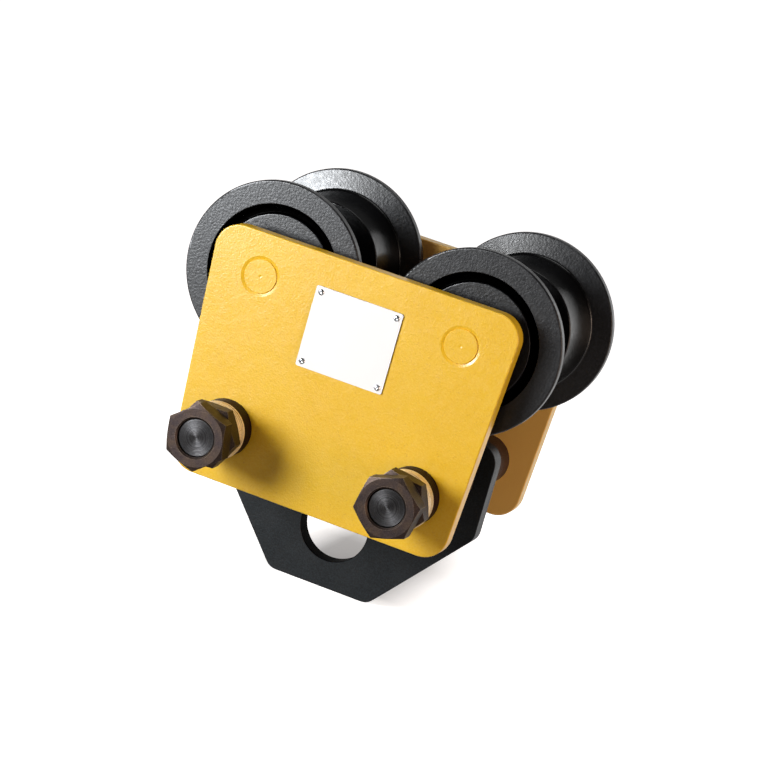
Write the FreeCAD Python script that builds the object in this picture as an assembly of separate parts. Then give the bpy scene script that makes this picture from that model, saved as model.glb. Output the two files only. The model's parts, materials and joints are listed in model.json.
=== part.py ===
import FreeCAD, Part
import math
import os

# Push trolley for a beam. Millimetres. X runs along the beam, Y across it and Z up.
# The origin is the middle of the beam's running surface: the wheels stand on Z = 0
# at the middle of their treads. "Distance" means distance from the XZ plane, so
# each piece of the front half (-Y) has its twin in the rear half (+Y).

V = FreeCAD.Vector

# ---------------------------------------------------------------- driving dimensions
# beam that the trolley is set for
beam_flange_w = 113.0         # width of the beam's bottom flange
beam_play = 3.5               # room between the beam's edge and a wheel flange

# wheels
wheel_spacing = 150.0         # from axle to axle along the beam
tread_r = 46.8                # rolling radius at mid tread
tread_w = 36.0
tread_taper = 8.0             # degrees, the slope of a tapered beam flange
wheel_flange_r = 64.5
wheel_flange_t = 9.5          # at the flange's root
flange_taper = 10.0           # degrees, the slope of the flange's inner face towards its rim
wheel_edge_round = 1.2
hub_edge_round = 0.8
machined_round = 0.5          # where a turned face meets a bore or a groove
tread_root_round = 1.8
tread_end_round = 1.2
hub_r = 41.0                  # raised disc in the middle of the outer face
hub_recess = 3.8              # how far the disc lies below the flange's face
groove_r = 48.3               # outer radius of the groove around the disc
groove_depth = 8.0
groove_draft = 3.0            # how much narrower the groove is at its bottom
groove_round = 1.4
lip_hole_r = 20.5
lip_t = 3.7                   # wall that holds the outer bearing in the hub
wheel_gap = 10.5              # from the wheel's outer face to the side plate

# ball bearings, two side by side in each wheel
bearing_bore_r = 12.5
bearing_r = 26.0
bearing_w = 15.0
inner_shoulder_r = 16.0
outer_shoulder_r = 22.4
ball_r = 3.97
ball_count = 9
ball_play = 0.05              # running clearance between a ball and its races
bearing_gap = 0.05            # air between the two bearings
outer_race_round = 0.6
inner_race_round = 0.4
cage_inner_r = 18.1
cage_outer_r = 20.4
cage_w = 10.0
pocket_play = 0.15
seal_t = 0.8
seal_inset = 0.5
seal_play = 0.3

# retaining rings and dust cap
bore_ring_t = 2.0
bore_ring_bite = 1.5          # depth of its groove in the wheel
bore_ring_reach = 2.5         # how far it stands in from the bore
shaft_ring_t = 1.2
shaft_ring_bite = 0.6
shaft_ring_reach = 2.0
ring_slack = 0.1              # room around a retaining ring in its groove
ring_opening = 7.0
cap_step = 1.5                # wall between the retaining ring and the cap
cap_ledge = 2.0               # the cap is this much larger in radius than the bearing
cap_wall = 1.5

# axles
axle_shank_r = 12.0           # part riveted into the side plate
axle_countersink_w = 2.2      # shallow countersink around it in the plate's outer face
axle_countersink_depth = 0.9
axle_collar_r = 18.0
axle_collar_t = 6.0
axle_collar_round = 0.8
axle_root_round = 0.4
axle_sleeve_wall = 4.0
axle_end_past_ring = 2.0
axle_chamfer = 0.7
axle_rivet_chamfer = 0.3
axle_mark_r = 1.3             # centre mark in the riveted end
bolt_mark_r = 0.5
mark_slope = 0.3              # depth of a centre mark over its radius

# side plates
plate_t = 12.0
plate_above_axle = 30.0
plate_past_axle = 39.0        # from axle centre to the plate's end, at the top edge
plate_below_bolt = 38.6
plate_past_bolt = 32.2        # from bolt centre to the plate's end, at the bottom edge
plate_corner_r = 18.0
plate_edge_round = 1.0

# load bolts and what is stacked on them
bolt_r = 13.5
bolt_spacing = 142.0
bolt_drop = 109.0             # from axle centre down to bolt centre
bolt_hole_play = 0.25
bolt_end_recess = 2.5         # how far the bolt's end lies inside the outer nut
bolt_chamfer = 1.0
tube_r = 18.3
outer_spacer_r = 20.4
outer_spacer_t = 13.0
washer_r = 20.8
thin_washer_t = 3.0
thin_washers_left = 4         # thin washers on each end of the left bolt
thick_washer_t = 9.0
washer_edge_round = 0.9
spacer_edge_round = 0.4
stack_air = 0.03              # air between pieces that lie on each other
nut_flats = 41.0
jam_nut_t = 13.5
outer_nut_t = 15.0
nut_face_r = 19.9             # where the corner chamfer meets the nut's face
nut_chamfer_angle = 30.0
nut_mouth_w = 1.1             # countersink at each end of the nut's bore

# load plate with the eye that carries the hoist
load_plate_t = 14.0
load_plate_margin = 30.0      # from bolt centre to the edge, upwards and sideways
load_plate_side = 37.7        # from bolt centre down to where the edge slants in
load_plate_foot_w = 77.7
load_plate_top_round = 14.0
load_plate_round = 11.0
load_plate_edge_round = 0.6
eye_r = 25.5
eye_drop = 64.1               # from bolt centre down to eye centre
eye_wall = 19.8               # steel left under the eye
eye_chamfer = 0.6

# name plate, held by four rivets
name_plate_w = 64.6
name_plate_h = 57.8
name_plate_t = 1.0
name_plate_x = -1.2
name_plate_drop = 21.0        # from axle centre down to the plate's centre
name_plate_corner_r = 1.5
rivet_inset = 4.0
rivet_head_r = 2.3
rivet_head_h = 1.3
rivet_shank_r = 1.25
rivet_depth = 6.0
cutter_reach = 1.0            # how far a trimming cutter stands past what it trims

# ---------------------------------------------------------------- places worked out
slope = math.tan(math.radians(tread_taper))
tread_root_r = tread_r + slope * tread_w / 2
tread_end_r = tread_r - slope * tread_w / 2
wheel_w = wheel_flange_t + tread_w
wheel_face = beam_flange_w / 2 + beam_play + wheel_flange_t
plate_inner = wheel_face + wheel_gap
plate_outer = plate_inner + plate_t

axle_z = tread_r
axle_x = wheel_spacing / 2
bolt_z = axle_z - bolt_drop
bolt_x = bolt_spacing / 2
bolt_hole_r = bolt_r + bolt_hole_play
eye_z = bolt_z - eye_drop

# along the axle, as distances from the XZ plane
lip_inner = wheel_face - hub_recess - lip_t
bearing_starts = [lip_inner, lip_inner - bearing_w - bearing_gap]
bearings_end = bearing_starts[1] - bearing_w
bore_ring_end = bearings_end - bore_ring_t
cap_seat = bore_ring_end - cap_step
wheel_end = wheel_face - wheel_w
cap_r = bearing_r + cap_ledge
pitch_r = (inner_shoulder_r + outer_shoulder_r) / 2
collar_end = plate_inner - axle_collar_t
shaft_ring_end = bearings_end - shaft_ring_t
axle_end = shaft_ring_end - ring_slack - axle_end_past_ring

# along the bolt
tube_start = load_plate_t / 2
spacer_end = plate_outer + outer_spacer_t
left_washers_t = thin_washers_left * thin_washer_t
right_washers_t = thick_washer_t + thin_washer_t
bolt_stacks = {"left": left_washers_t, "right": right_washers_t}
nut_turns = {
    "left": {"outer": 39.0, "jam": 0.0},
    "right": {"outer": 17.5, "jam": 51.0},
}

SIDES = {"front": -1, "rear": 1}
ENDS = {"left": -1, "right": 1}


# ---------------------------------------------------------------- shape helpers
def rounded_wire(corners):
    """Closed wire through (point, radius) corners, rounded by an arc at each radius."""
    edges = []
    first = None
    last = None
    for i, (point, radius) in enumerate(corners):
        back = (corners[i - 1][0] - point).normalize()
        ahead = (corners[(i + 1) % len(corners)][0] - point).normalize()
        if radius > 0:
            half = back.getAngle(ahead) / 2
            middle = (back + ahead).normalize()
            centre = point + middle * (radius / math.sin(half))
            start = point + back * (radius / math.tan(half))
            end = point + ahead * (radius / math.tan(half))
            arc = Part.Arc(start, centre - middle * radius, end).toShape()
        else:
            start = point
            end = point
            arc = None
        if last is not None:
            edges.append(Part.LineSegment(last, start).toShape())
        else:
            first = start
        if arc is not None:
            edges.append(arc)
        last = end
    edges.append(Part.LineSegment(last, first).toShape())
    return Part.Wire(edges)


def turned(corners, x, z, side):
    """Solid of revolution about the Y line through (x, z), from (radius, distance, round)."""
    points = [(V(x + r, side * distance, z), rounding) for r, distance, rounding in corners]
    face = Part.Face(rounded_wire(points))
    return face.revolve(V(x, 0, z), V(0, 1, 0), 360)


def ring(inner_r, outer_r, near, far, x, z, side, rounding=0.0):
    """Plain ring about the Y line through (x, z), between two distances."""
    corners = [(inner_r, near, 0), (outer_r, near, rounding), (outer_r, far, rounding), (inner_r, far, 0)]
    return turned(corners, x, z, side)


def rod(r, near, far, x, z, side):
    """Plain round bar about the Y line through (x, z), between two distances."""
    return Part.makeCylinder(r, abs(far - near), V(x, side * near, z), V(0, side * (far - near), 0))


def plate(corners, near, far, side, edge_round):
    """Flat plate with an outline of (x, z, radius) corners and rounded rims."""
    wire = rounded_wire([(V(x, side * near, z), radius) for x, z, radius in corners])
    solid = Part.Face(wire).extrude(V(0, side * (far - near), 0))
    rims = [edge for edge in solid.Edges if edge.BoundBox.YLength < 1e-6]
    return solid.makeFillet(edge_round, rims)


def mirrored(corners):
    """The same outline's corners with X reversed, in the order that closes the outline."""
    return [(-x, z, radius) for x, z, radius in reversed(corners)]


def split_ring(inner_r, outer_r, near, far, x, z, side):
    """Retaining ring with an opening that faces down."""
    body = ring(inner_r, outer_r, near, far, x, z, side)
    depth = abs(far - near)
    low = min(side * near, side * far)
    gap = Part.makeBox(ring_opening, depth, outer_r, V(x - ring_opening / 2, low, z - outer_r))
    return body.cut(gap)


def hexagon_nut(thickness, near, turn, x, z, side):
    """Nut with chamfered corners, its bore countersunk at both ends."""
    corner_r = nut_flats / math.sqrt(3)
    fall = (corner_r - nut_face_r) * math.tan(math.radians(nut_chamfer_angle))
    far = near + thickness
    angles = [math.radians(turn + 60 * k) for k in range(7)]
    points = [V(x + corner_r * math.cos(a), side * near, z + corner_r * math.sin(a)) for a in angles]
    hexagon = Part.Face(Part.makePolygon(points)).extrude(V(0, side * thickness, 0))
    envelope = [
        (bolt_r + nut_mouth_w, near, 0),
        (nut_face_r, near, 0),
        (corner_r, near + fall, 0),
        (corner_r, far - fall, 0),
        (nut_face_r, far, 0),
        (bolt_r + nut_mouth_w, far, 0),
        (bolt_r, far - nut_mouth_w, 0),
        (bolt_r, near + nut_mouth_w, 0),
    ]
    return hexagon.common(turned(envelope, x, z, side))


# ---------------------------------------------------------------- wheel and bearings
def wheel(x, side):
    """Flanged wheel: flange towards the side plate, tread towards the beam's web."""
    hub_face = wheel_face - hub_recess
    groove_bottom = wheel_face - groove_depth
    flange_back = wheel_face - wheel_flange_t
    rim_back = flange_back + (wheel_flange_r - tread_root_r) * math.tan(math.radians(flange_taper))
    ring_groove_r = bearing_r + bore_ring_bite
    corners = [
        (lip_hole_r, hub_face, machined_round),
        (hub_r, hub_face, hub_edge_round),
        (hub_r, groove_bottom, groove_round),
        (groove_r - groove_draft, groove_bottom, groove_round),
        (groove_r, wheel_face, machined_round),
        (wheel_flange_r, wheel_face, wheel_edge_round),
        (wheel_flange_r, rim_back, wheel_edge_round),
        (tread_root_r, flange_back, tread_root_round),
        (tread_end_r, wheel_end, tread_end_round),
        (cap_r, wheel_end, machined_round),
        (cap_r, cap_seat, 0),
        (bearing_r, cap_seat, 0),
        (bearing_r, bore_ring_end - ring_slack, 0),
        (ring_groove_r, bore_ring_end - ring_slack, 0),
        (ring_groove_r, bearings_end, 0),
        (bearing_r, bearings_end, 0),
        (bearing_r, lip_inner, 0),
        (lip_hole_r, lip_inner, 0),
    ]
    return turned(corners, x, axle_z, side)


def race_track(x, start, side):
    """Torus that a bearing's ball track is cut with."""
    middle = V(x, side * (start - bearing_w / 2), axle_z)
    return Part.makeTorus(pitch_r, ball_r + ball_play, middle, V(0, 1, 0))


def outer_race(x, start, side):
    body = ring(outer_shoulder_r, bearing_r, start, start - bearing_w, x, axle_z, side, outer_race_round)
    return body.cut(race_track(x, start, side))


def inner_race(x, start, side):
    body = ring(bearing_bore_r, inner_shoulder_r, start, start - bearing_w, x, axle_z, side, inner_race_round)
    return body.cut(race_track(x, start, side))


def ball_centres(x, start, side):
    """Centres of one bearing's balls, evenly spaced about the axle."""
    y = side * (start - bearing_w / 2)
    turns = [2 * math.pi * k / ball_count for k in range(ball_count)]
    return [V(x + pitch_r * math.cos(t), y, axle_z + pitch_r * math.sin(t)) for t in turns]


def balls(x, start, side):
    return [Part.makeSphere(ball_r, centre) for centre in ball_centres(x, start, side)]


def cage(x, start, side):
    """Ring between the races, with a round radial pocket for each ball."""
    middle = start - bearing_w / 2
    body = ring(cage_inner_r, cage_outer_r, middle + cage_w / 2, middle - cage_w / 2, x, axle_z, side)
    axis_point = V(x, side * middle, axle_z)
    for centre in ball_centres(x, start, side):
        body = body.cut(Part.makeCylinder(ball_r + pocket_play, bearing_r, axis_point, centre - axis_point))
    return body


def seals(x, start, side):
    """The two shields of one bearing, which stand just clear of its inner ring."""
    hole_r = inner_shoulder_r + seal_play
    near = start - seal_inset
    far = start - bearing_w + seal_inset + seal_t
    return [ring(hole_r, outer_shoulder_r, d, d - seal_t, x, axle_z, side) for d in (near, far)]


def wheel_ring(x, side):
    inner = bearing_r - bore_ring_reach
    outer = bearing_r + bore_ring_bite - ring_slack
    return split_ring(inner, outer, bearings_end, bore_ring_end, x, axle_z, side)


def wheel_cap(x, side):
    """Dust cap: a shallow cup pressed into the wheel's web side."""
    corners = [
        (0, wheel_end, 0),
        (cap_r, wheel_end, machined_round),
        (cap_r, cap_seat, 0),
        (cap_r - cap_wall, cap_seat, 0),
        (cap_r - cap_wall, wheel_end + cap_wall, machined_round),
        (0, wheel_end + cap_wall, 0),
    ]
    return turned(corners, x, axle_z, side)


# ---------------------------------------------------------------- axle
def axle(x, side):
    """Stub axle, riveted into the side plate, with a collar against the plate."""
    ring_groove_r = bearing_bore_r - shaft_ring_bite
    corners = [
        (0, plate_outer - axle_mark_r * mark_slope, 0),
        (axle_mark_r, plate_outer, 0),
        (axle_shank_r - axle_rivet_chamfer, plate_outer, 0),
        (axle_shank_r, plate_outer - axle_rivet_chamfer, 0),
        (axle_shank_r, plate_inner, 0),
        (axle_collar_r, plate_inner, axle_root_round),
        (axle_collar_r, collar_end, axle_collar_round),
        (bearing_bore_r, collar_end, 0),
        (bearing_bore_r, bearings_end, 0),
        (ring_groove_r, bearings_end, 0),
        (ring_groove_r, shaft_ring_end - ring_slack, 0),
        (bearing_bore_r, shaft_ring_end - ring_slack, 0),
        (bearing_bore_r, axle_end + axle_chamfer, 0),
        (bearing_bore_r - axle_chamfer, axle_end, 0),
        (0, axle_end, 0),
    ]
    return turned(corners, x, axle_z, side)


def axle_sleeve(x, side):
    """Sleeve that holds the outer bearing's inner ring off the axle's collar."""
    outer = bearing_bore_r + axle_sleeve_wall
    return ring(bearing_bore_r, outer, collar_end, lip_inner, x, axle_z, side)


def axle_ring(x, side):
    inner = bearing_bore_r - shaft_ring_bite + ring_slack / 2
    outer = bearing_bore_r + shaft_ring_reach
    return split_ring(inner, outer, bearings_end, shaft_ring_end, x, axle_z, side)


# ---------------------------------------------------------------- side plates, load plate
def side_plate(side):
    """Trapezoid plate with holes for two axles and two load bolts."""
    top_x = axle_x + plate_past_axle
    foot_x = bolt_x + plate_past_bolt
    right = [
        (foot_x, bolt_z - plate_below_bolt, plate_corner_r),
        (top_x, axle_z + plate_above_axle, plate_corner_r),
    ]
    body = plate(right + mirrored(right), plate_inner, plate_outer, side, plate_edge_round)
    for end in ENDS.values():
        body = body.cut(rod(axle_shank_r, plate_inner, plate_outer, end * axle_x, axle_z, side))
        body = body.cut(axle_countersink(end * axle_x, side))
        body = body.cut(rod(bolt_hole_r, plate_inner, plate_outer, end * bolt_x, bolt_z, side))
    if side == SIDES["front"]:
        for x, z in rivet_places():
            body = body.cut(rod(rivet_shank_r, plate_outer - rivet_depth, plate_outer, x, z, side))
    return body


def axle_countersink(x, side):
    """Shallow cone around the riveted axle in the plate's outer face."""
    corners = [
        (axle_shank_r, plate_outer - axle_countersink_depth, 0),
        (axle_shank_r, plate_outer, 0),
        (axle_shank_r + axle_countersink_w, plate_outer, 0),
    ]
    return turned(corners, x, axle_z, side)


def load_plate():
    """Plate between the side plates, hung on both bolts, with the load eye."""
    top_z = bolt_z + load_plate_margin
    side_x = bolt_x + load_plate_margin
    right = [
        (load_plate_foot_w / 2, eye_z - eye_r - eye_wall, load_plate_round),
        (side_x, bolt_z - load_plate_side, load_plate_round),
        (side_x, top_z, load_plate_top_round),
    ]
    half = load_plate_t / 2
    body = plate(right + mirrored(right), -half, half, 1, load_plate_edge_round)
    for end in ENDS.values():
        body = body.cut(rod(bolt_hole_r, -half, half, end * bolt_x, bolt_z, 1))
    mouth_r = eye_r + eye_chamfer
    eye = [
        (0, -half, 0),
        (mouth_r, -half, 0),
        (eye_r, -half + eye_chamfer, 0),
        (eye_r, half - eye_chamfer, 0),
        (mouth_r, half, 0),
        (0, half, 0),
    ]
    return body.cut(turned(eye, 0, eye_z, 1))


# ---------------------------------------------------------------- load bolts
def stack_end(end_name):
    """Distance at which the washers end and the jam nut begins."""
    return spacer_end + bolt_stacks[end_name]


def load_bolt(end_name):
    """Straight stud through both side plates and the load plate."""
    reach = stack_end(end_name) + jam_nut_t + outer_nut_t - bolt_end_recess
    tip_r = bolt_r - bolt_chamfer
    mark_depth = bolt_mark_r * mark_slope
    corners = [
        (0, -reach + mark_depth, 0),
        (bolt_mark_r, -reach, 0),
        (tip_r, -reach, 0),
        (bolt_r, -reach + bolt_chamfer, 0),
        (bolt_r, reach - bolt_chamfer, 0),
        (tip_r, reach, 0),
        (bolt_mark_r, reach, 0),
        (0, reach - mark_depth, 0),
    ]
    return turned(corners, ENDS[end_name] * bolt_x, bolt_z, 1)


def bolt_ring(outer_r, near, thickness, edge_round, end_name, side):
    """Washer or spacer on a load bolt, with air to its neighbour further out."""
    x = ENDS[end_name] * bolt_x
    far = near + thickness - stack_air
    return ring(bolt_hole_r, outer_r, near, far, x, bolt_z, side, edge_round)


def each_bolt_end():
    return [(end_name, side) for end_name in ENDS for side in SIDES.values()]


def tubes():
    """Distance tubes between the load plate and the side plates."""
    length = plate_inner - tube_start + stack_air
    size = (tube_r, tube_start, length, spacer_edge_round)
    return [bolt_ring(*size, end_name, side) for end_name, side in each_bolt_end()]


def outer_spacers():
    size = (outer_spacer_r, plate_outer, outer_spacer_t, spacer_edge_round)
    return [bolt_ring(*size, end_name, side) for end_name, side in each_bolt_end()]


def thin_washers():
    washers = []
    for side in SIDES.values():
        for k in range(thin_washers_left):
            near = spacer_end + k * thin_washer_t
            washers.append(bolt_ring(washer_r, near, thin_washer_t, washer_edge_round, "left", side))
        near = spacer_end + thick_washer_t
        washers.append(bolt_ring(washer_r, near, thin_washer_t, washer_edge_round, "right", side))
    return washers


def thick_washers():
    size = (washer_r, spacer_end, thick_washer_t, washer_edge_round)
    return [bolt_ring(*size, "right", side) for side in SIDES.values()]


def nuts(kind):
    """The four jam nuts or the four outer nuts."""
    made = []
    for end_name, side in each_bolt_end():
        near = stack_end(end_name)
        thickness = jam_nut_t - stack_air
        if kind == "outer":
            near = near + jam_nut_t
            thickness = outer_nut_t
        turn = nut_turns[end_name][kind]
        made.append(hexagon_nut(thickness, near, turn, ENDS[end_name] * bolt_x, bolt_z, side))
    return made


# ---------------------------------------------------------------- name plate
def rivet_places():
    half_w = name_plate_w / 2 - rivet_inset
    half_h = name_plate_h / 2 - rivet_inset
    middle_z = axle_z - name_plate_drop
    return [(name_plate_x + i * half_w, middle_z + j * half_h) for i in (-1, 1) for j in (-1, 1)]


def name_plate():
    middle_z = axle_z - name_plate_drop
    half_w = name_plate_w / 2
    half_h = name_plate_h / 2
    corners = [(half_w, -half_h), (half_w, half_h), (-half_w, half_h), (-half_w, -half_h)]
    points = [(V(name_plate_x + x, -plate_outer, middle_z + z), name_plate_corner_r) for x, z in corners]
    body = Part.Face(rounded_wire(points)).extrude(V(0, -name_plate_t, 0))
    for x, z in rivet_places():
        body = body.cut(rod(rivet_shank_r, plate_outer, plate_outer + name_plate_t, x, z, -1))
    return body


def rivets():
    """Round-headed drive rivets through the name plate."""
    seat = plate_outer + name_plate_t
    tail = plate_outer - rivet_depth
    dome_r = (rivet_head_r ** 2 + rivet_head_h ** 2) / (2 * rivet_head_h)
    made = []
    for x, z in rivet_places():
        shank = rod(rivet_shank_r, tail, seat, x, z, -1)
        ball = Part.makeSphere(dome_r, V(x, -(seat + rivet_head_h - dome_r), z))
        dome_room = rod(rivet_head_r + cutter_reach, seat, seat + rivet_head_h + cutter_reach, x, z, -1)
        head = ball.common(dome_room)
        made.append(shank.fuse(head).removeSplitter())
    return made


# ---------------------------------------------------------------- write every piece
def pieces_of_wheel(x, side):
    """Every piece at one axle, named without its place."""
    races = [outer_race(x, start, side) for start in bearing_starts]
    inner = [inner_race(x, start, side) for start in bearing_starts]
    return {
        "axle": axle(x, side),
        "axle_sleeve": axle_sleeve(x, side),
        "axle_retaining_ring": axle_ring(x, side),
        "bearing_inner_rings": inner,
        "bearing_outer_rings": races,
        "bearing_balls": sum([balls(x, start, side) for start in bearing_starts], []),
        "bearing_cages": [cage(x, start, side) for start in bearing_starts],
        "bearing_seals": sum([seals(x, start, side) for start in bearing_starts], []),
        "wheel": wheel(x, side),
        "wheel_retaining_ring": wheel_ring(x, side),
        "wheel_cap": wheel_cap(x, side),
    }


def all_pieces():
    pieces = {
        "side_plate_front": side_plate(SIDES["front"]),
        "side_plate_rear": side_plate(SIDES["rear"]),
        "load_plate": load_plate(),
        "load_bolt_left": load_bolt("left"),
        "load_bolt_right": load_bolt("right"),
        "distance_tubes": tubes(),
        "outer_spacers": outer_spacers(),
        "thin_washers": thin_washers(),
        "thick_washers": thick_washers(),
        "jam_nuts": nuts("jam"),
        "outer_nuts": nuts("outer"),
        "name_plate": name_plate(),
        "name_plate_rivets": rivets(),
    }
    for side_name, side in SIDES.items():
        for end_name, end in ENDS.items():
            for name, shape in pieces_of_wheel(end * axle_x, side).items():
                pieces[f"{name}_{side_name}_{end_name}"] = shape
    return pieces


os.makedirs("parts", exist_ok=True)
for node, shape in all_pieces().items():
    if isinstance(shape, list):
        shape = Part.makeCompound(shape)
    shape.exportStep(f"parts/{node}.step")
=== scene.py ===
import json
import math

import bmesh
import bpy
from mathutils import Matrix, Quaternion, Vector

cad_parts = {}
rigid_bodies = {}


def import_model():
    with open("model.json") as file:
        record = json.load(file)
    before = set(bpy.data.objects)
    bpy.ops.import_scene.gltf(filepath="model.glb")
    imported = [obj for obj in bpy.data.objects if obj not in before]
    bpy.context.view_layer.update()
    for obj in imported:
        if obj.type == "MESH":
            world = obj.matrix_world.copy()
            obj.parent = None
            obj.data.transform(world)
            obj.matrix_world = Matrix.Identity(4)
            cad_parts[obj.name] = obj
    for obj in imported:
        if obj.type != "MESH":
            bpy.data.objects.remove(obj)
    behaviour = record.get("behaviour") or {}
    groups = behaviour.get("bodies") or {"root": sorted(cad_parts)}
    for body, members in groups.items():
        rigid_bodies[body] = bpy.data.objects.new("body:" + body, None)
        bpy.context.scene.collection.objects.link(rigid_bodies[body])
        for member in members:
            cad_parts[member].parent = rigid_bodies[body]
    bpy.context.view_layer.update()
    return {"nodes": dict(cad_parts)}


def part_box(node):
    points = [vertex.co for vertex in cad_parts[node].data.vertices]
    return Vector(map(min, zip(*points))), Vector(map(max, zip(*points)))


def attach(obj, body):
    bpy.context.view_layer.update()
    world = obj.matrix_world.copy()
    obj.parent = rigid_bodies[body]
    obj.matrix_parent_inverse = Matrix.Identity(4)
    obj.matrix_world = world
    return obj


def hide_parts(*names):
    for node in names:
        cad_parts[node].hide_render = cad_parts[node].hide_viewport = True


for leftover in list(bpy.data.objects):
    bpy.data.objects.remove(leftover)
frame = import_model()
nodes = frame["nodes"]
SIDES = ("front", "rear")
ENDS = ("left", "right")
MM = 0.001

# ------------------------------------------------------------ sizes read from the CAD boxes


def box_middle(node):
    low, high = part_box(node)
    return (low + high) / 2


def axle_place(end):
    """X and Z of the two wheels' common axis at one end of the trolley."""
    middle = box_middle(f"wheel_front_{end}")
    return middle.x, middle.z


def bolt_place(end):
    middle = box_middle(f"load_bolt_{end}")
    return middle.x, middle.z


def span_out(node, end):
    """Nearest and farthest distance from the XZ plane of a node's pieces at one end."""
    sign = -1 if end == "left" else 1
    out = [abs(vertex.co.y) for vertex in nodes[node].data.vertices if vertex.co.x * sign > 0]
    return min(out), max(out)


WHEEL_FACE = abs(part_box("wheel_front_left")[0].y)
PLATE_OUTER = abs(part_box("side_plate_front")[0].y)
PLATE_INNER = abs(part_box("side_plate_front")[1].y)
BOLT_X, BOLT_Z = bolt_place("right")
STUD_RADIUS = (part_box("load_bolt_left")[1].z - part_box("load_bolt_left")[0].z) / 2
AIR = 0.03 * MM               # left free along each stack of washers
FOOT_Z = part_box("load_plate")[0].z
NAME_LOW, NAME_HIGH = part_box("name_plate")
RIVET_LOW, RIVET_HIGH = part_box("name_plate_rivets")
WASHER_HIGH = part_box("thin_washers")[1]
WASHER_ROLL = 1.25 * MM       # rolled edge of a punched washer
WASHER_GAP_SHADE = (0.45 * MM, 0.95 * MM)   # the painted shade between washers fades out over this rise
GROOVE_RADII = (41.0 * MM, 48.5 * MM)
TREAD_RADII = (51 * MM, 53 * MM)       # the tread's finish fades out between them
SHADE_TONE_FADE = (0.3 * MM, 0.8 * MM)  # distances out from the side plates' inner faces, over which their painted shade tone fades out
# Depths below the wheels' or the side plates' outer faces: the deep and shallow end of a fade.
GROOVE_MOUTH = (0.5 * MM, 0.2 * MM)
GROOVE_FLOOR = (9.2 * MM, 8.6 * MM)
FLANGE_BACK = (9.8 * MM, 9.0 * MM)
PAINT_ON_AXLE = (1.4 * MM, 1.2 * MM)

# ------------------------------------------------------------ node helpers


class Tree:
    """A node tree that is filled one node at a time."""

    def __init__(self, tree):
        self.tree = tree

    def add(self, kind, inputs=None, out=0, **settings):
        """Adds a node; an input is a number, a tuple, or another node's output."""
        made = self.tree.nodes.new(kind)
        for name, value in settings.items():
            setattr(made, name, value)
        for key, value in (inputs or {}).items():
            socket = made.inputs[key]
            if isinstance(value, bpy.types.NodeSocket):
                self.tree.links.new(value, socket)
            else:
                socket.default_value = value
        return made.outputs[out]

    def math(self, operation, a, b=0.0, clamp=False):
        return self.add("ShaderNodeMath", {0: a, 1: b}, operation=operation, use_clamp=clamp)

    def noise(self, vector, scale, detail=2.0, roughness=0.5):
        inputs = {"Vector": vector, "Scale": scale, "Detail": detail, "Roughness": roughness}
        return self.add("ShaderNodeTexNoise", inputs)

    def remap(self, value, low, high, new_low=0.0, new_high=1.0):
        inputs = {0: value, 1: low, 2: high, 3: new_low, 4: new_high}
        return self.add("ShaderNodeMapRange", inputs)

    def blend(self, factor, a, b):
        """Mix of two colours, each a tuple or an output."""
        made = self.tree.nodes.new("ShaderNodeMix")
        made.data_type = "RGBA"
        for socket, value in ((made.inputs[0], factor), (made.inputs[6], a), (made.inputs[7], b)):
            if isinstance(value, bpy.types.NodeSocket):
                self.tree.links.new(value, socket)
            else:
                socket.default_value = value
        return made.outputs[2]


def paint_tree(name):
    """A new material's tree, its Principled shader and its Object coordinates."""
    material = bpy.data.materials.new(name)
    material.use_nodes = True
    shader = material.node_tree.nodes["Principled BSDF"]
    tree = Tree(material.node_tree)
    coordinates = tree.add("ShaderNodeTexCoord", out=3)
    return material, shader, tree, coordinates


def feed(material, shader, **links):
    """Links outputs to the shader's sockets, with _ for a blank in a socket's name."""
    for name, output in links.items():
        material.node_tree.links.new(output, shader.inputs[name.replace("_", " ")])


def finish_values(shader, **values):
    """Constant values, set on the shader's own sockets."""
    for name, value in values.items():
        shader.inputs[name.replace("_", " ")].default_value = value


def rgb(r, g, b):
    """Linear colour from 0-255 display values."""
    parts = [c / 255 for c in (r, g, b)]
    linear = [c / 12.92 if c <= 0.04045 else ((c + 0.055) / 1.055) ** 2.4 for c in parts]
    return (*linear, 1.0)


def bump(tree, height, depth, strength=1.0, normal=None):
    """Relief of a given depth in metres."""
    inputs = {"Height": height, "Distance": depth, "Strength": strength}
    if normal is not None:
        inputs["Normal"] = normal
    return tree.add("ShaderNodeBump", inputs)


def split(tree, vector, axis):
    return tree.add("ShaderNodeSeparateXYZ", {0: vector}, out=axis)


def from_axis(tree, coordinates, x, z, both_ends=False):
    """Distance from a line along Y; both_ends takes the nearer of two lines at +x and -x."""
    if both_ends:
        coordinates = tree.add("ShaderNodeVectorMath", {0: coordinates}, operation="ABSOLUTE")
        x, z = abs(x), abs(z)
    off_x = tree.math("SUBTRACT", split(tree, coordinates, 0), x)
    off_z = tree.math("SUBTRACT", split(tree, coordinates, 2), z)
    squared_x = tree.math("MULTIPLY", off_x, off_x)
    squared_z = tree.math("MULTIPLY", off_z, off_z)
    return tree.math("SQRT", tree.math("ADD", squared_x, squared_z))


def along_axis(tree, coordinates):
    """Distance from the XZ plane."""
    return tree.math("ABSOLUTE", split(tree, coordinates, 1))


def facing_across(tree):
    """How squarely a face looks along Y, from 0 to 1."""
    normal = tree.add("ShaderNodeTexCoord", out=1)
    return tree.math("ABSOLUTE", split(tree, normal, 1))


def drawn_out(tree, coordinates, scales, detail=2.0):
    """Noise drawn out along the axes that have the small scales."""
    stretched = tree.add("ShaderNodeMapping", {0: coordinates, 3: scales})
    return tree.noise(stretched, scale=1.0, detail=detail)


def on_a_line(tree, distance):
    """Coordinates that change with one distance alone, for noise in rings or bands."""
    return tree.add("ShaderNodeCombineXYZ", {0: distance, 1: 0.0, 2: 0.0})


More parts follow.
